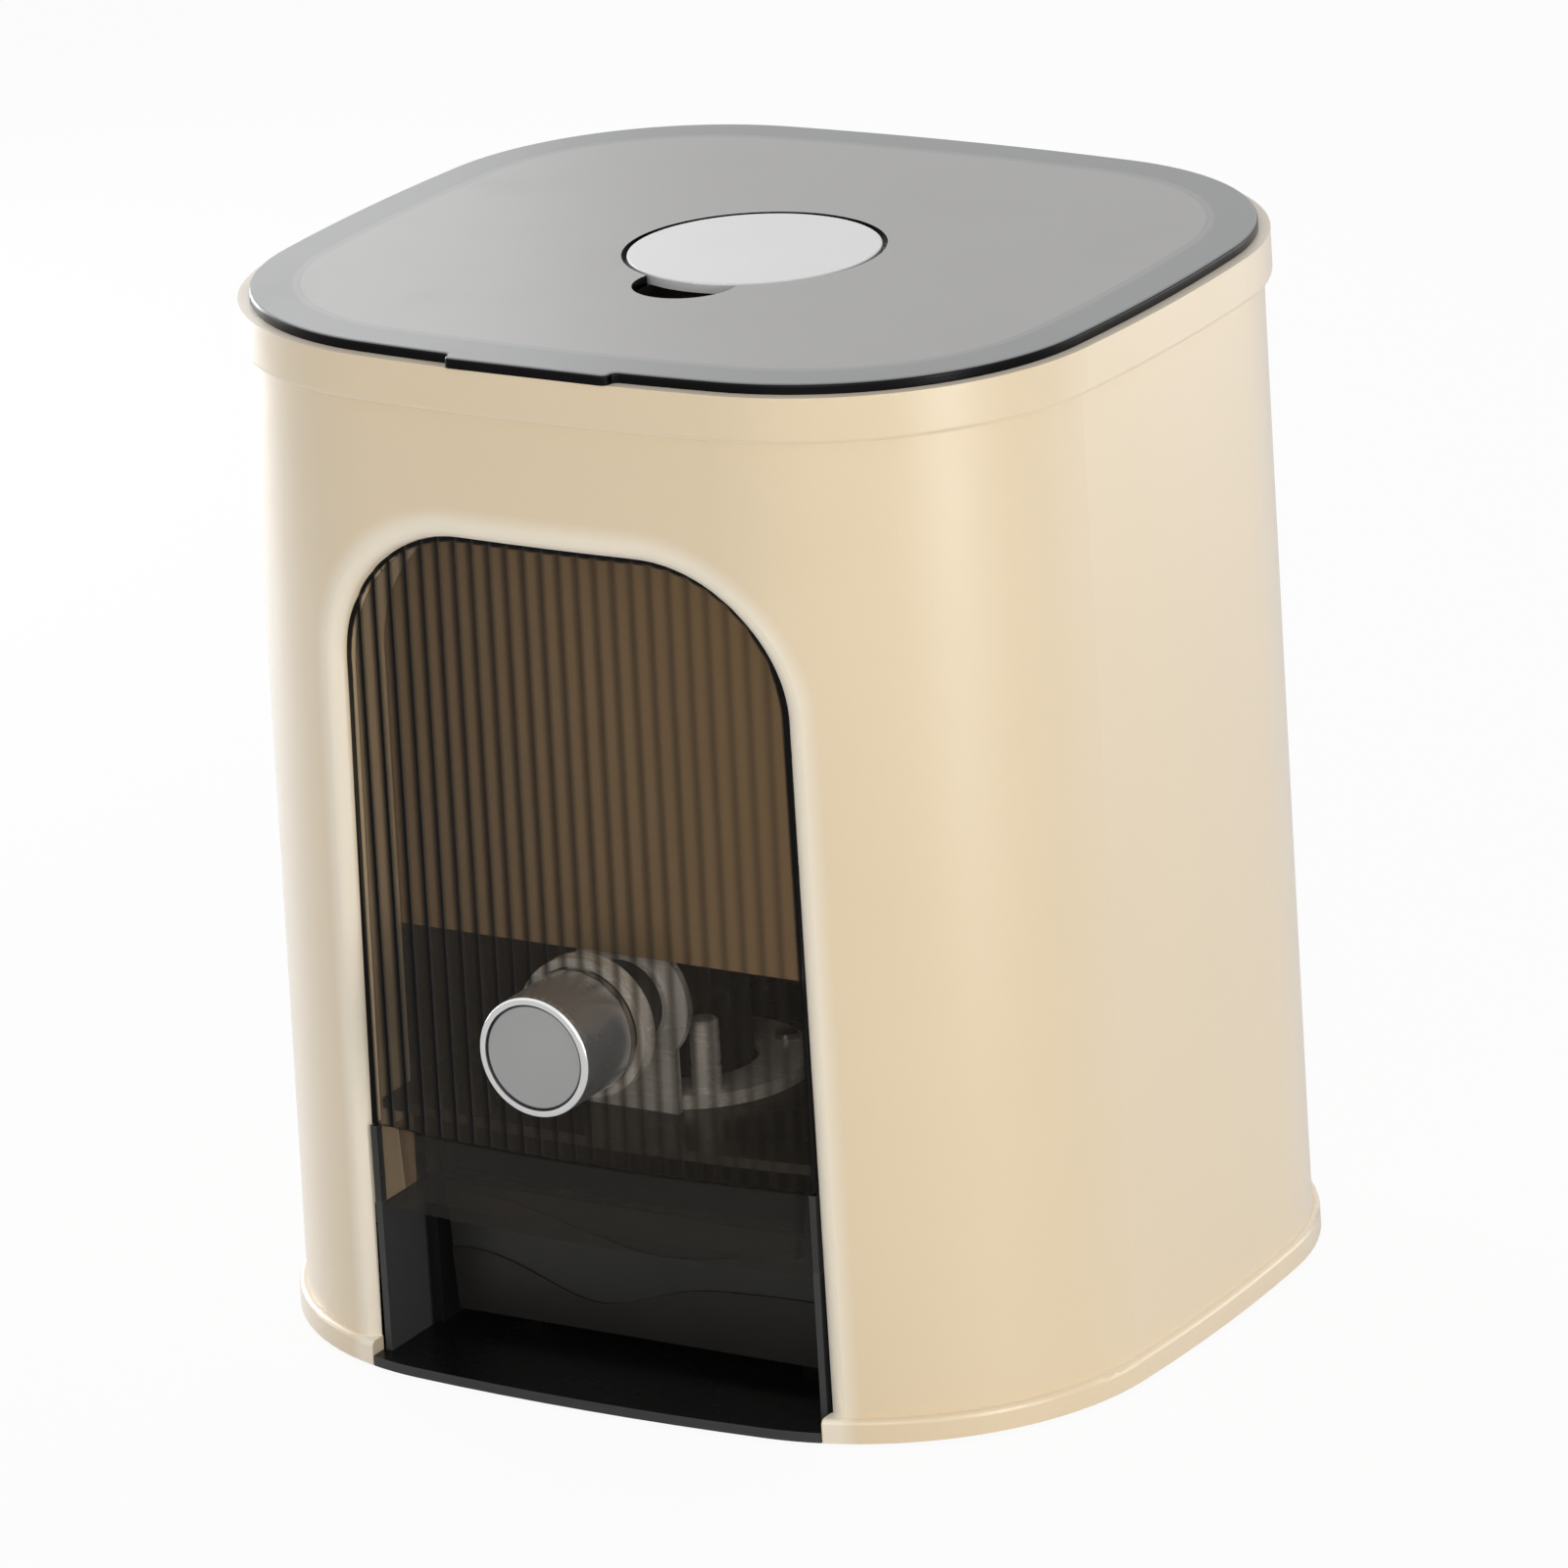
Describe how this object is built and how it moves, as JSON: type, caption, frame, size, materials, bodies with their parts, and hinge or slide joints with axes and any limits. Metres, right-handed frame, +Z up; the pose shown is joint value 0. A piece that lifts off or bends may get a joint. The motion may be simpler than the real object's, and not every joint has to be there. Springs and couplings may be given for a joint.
{
  "type": "rice dispenser",
  "caption": "Tapered rounded-square rice dispenser with an arched reeded smoked panel, a push button that opens a spool valve, a drawer below and a lift-off lid.",
  "frame": {"origin": "on the floor at the axis of the body", "axes": "+Z up, -Y towards the front with the button and drawer, +X to the right seen from the front"},
  "size_m": [0.2724, 0.2682, 0.3055],
  "materials": {
    "cream_plastic": "fine satin moulding",
    "lid_plastic": "smooth smoked grey",
    "smoked_panel": "clear smoked, reeded front",
    "smoked_drawer": "clear smoked",
    "silver_disc": "silver paint, satin",
    "black_plastic": "fine texture",
    "chrome": "polished plating",
    "satin_silver": "satin",
    "steel": "plain",
    "rubber": "matte",
    "silicone": "matte"
  },
  "bodies": {
    "dispenser": {"outer_shell": "cream_plastic", "hopper": "cream_plastic", "front_panel": "smoked_panel", "base": "black_plastic", "bay_deck": "black_plastic", "button_bush": "satin_silver", "gland_plate": "satin_silver", "valve_flange": "satin_silver", "flange_posts": "steel", "valve_body": "black_plastic", "return_spring": "steel", "valve_end_cap": "black_plastic", "end_cap_screws": "steel", "valve_screws": "steel", "inlet_seal": "silicone", "deck_screws": "steel", "base_screws": "steel", "feet": "rubber"},
    "lid": {"lid": "lid_plastic", "lid_seal": "silicone", "desiccant_cup": "lid_plastic"},
    "cap": {"desiccant_cap": "silver_disc"},
    "drawer": {"drawer": "smoked_drawer"},
    "button": {"button_sleeve": "chrome", "button_face": "satin_silver", "button_screw": "steel", "spool": "black_plastic"}
  },
  "joints": [
    {"name": "button_press", "type": "slide", "parent": "dispenser", "child": "button", "axis": [0, 1, 0], "range_m": [0, 0.02], "stiffness_N_per_m": 300, "springref_m": -0.01, "deforming": ["return_spring"]},
    {"name": "drawer_slide", "type": "slide", "parent": "dispenser", "child": "drawer", "axis": [0, -1, 0], "range_m": [0, 0.14]},
    {"name": "lid_lift", "type": "slide", "parent": "dispenser", "child": "lid", "axis": [0, 0, 1], "range_m": [0, 0.08]},
    {"name": "cap_lift", "type": "slide", "parent": "lid", "child": "cap", "axis": [0, 0, 1], "range_m": [0, 0.03]}
  ]
}
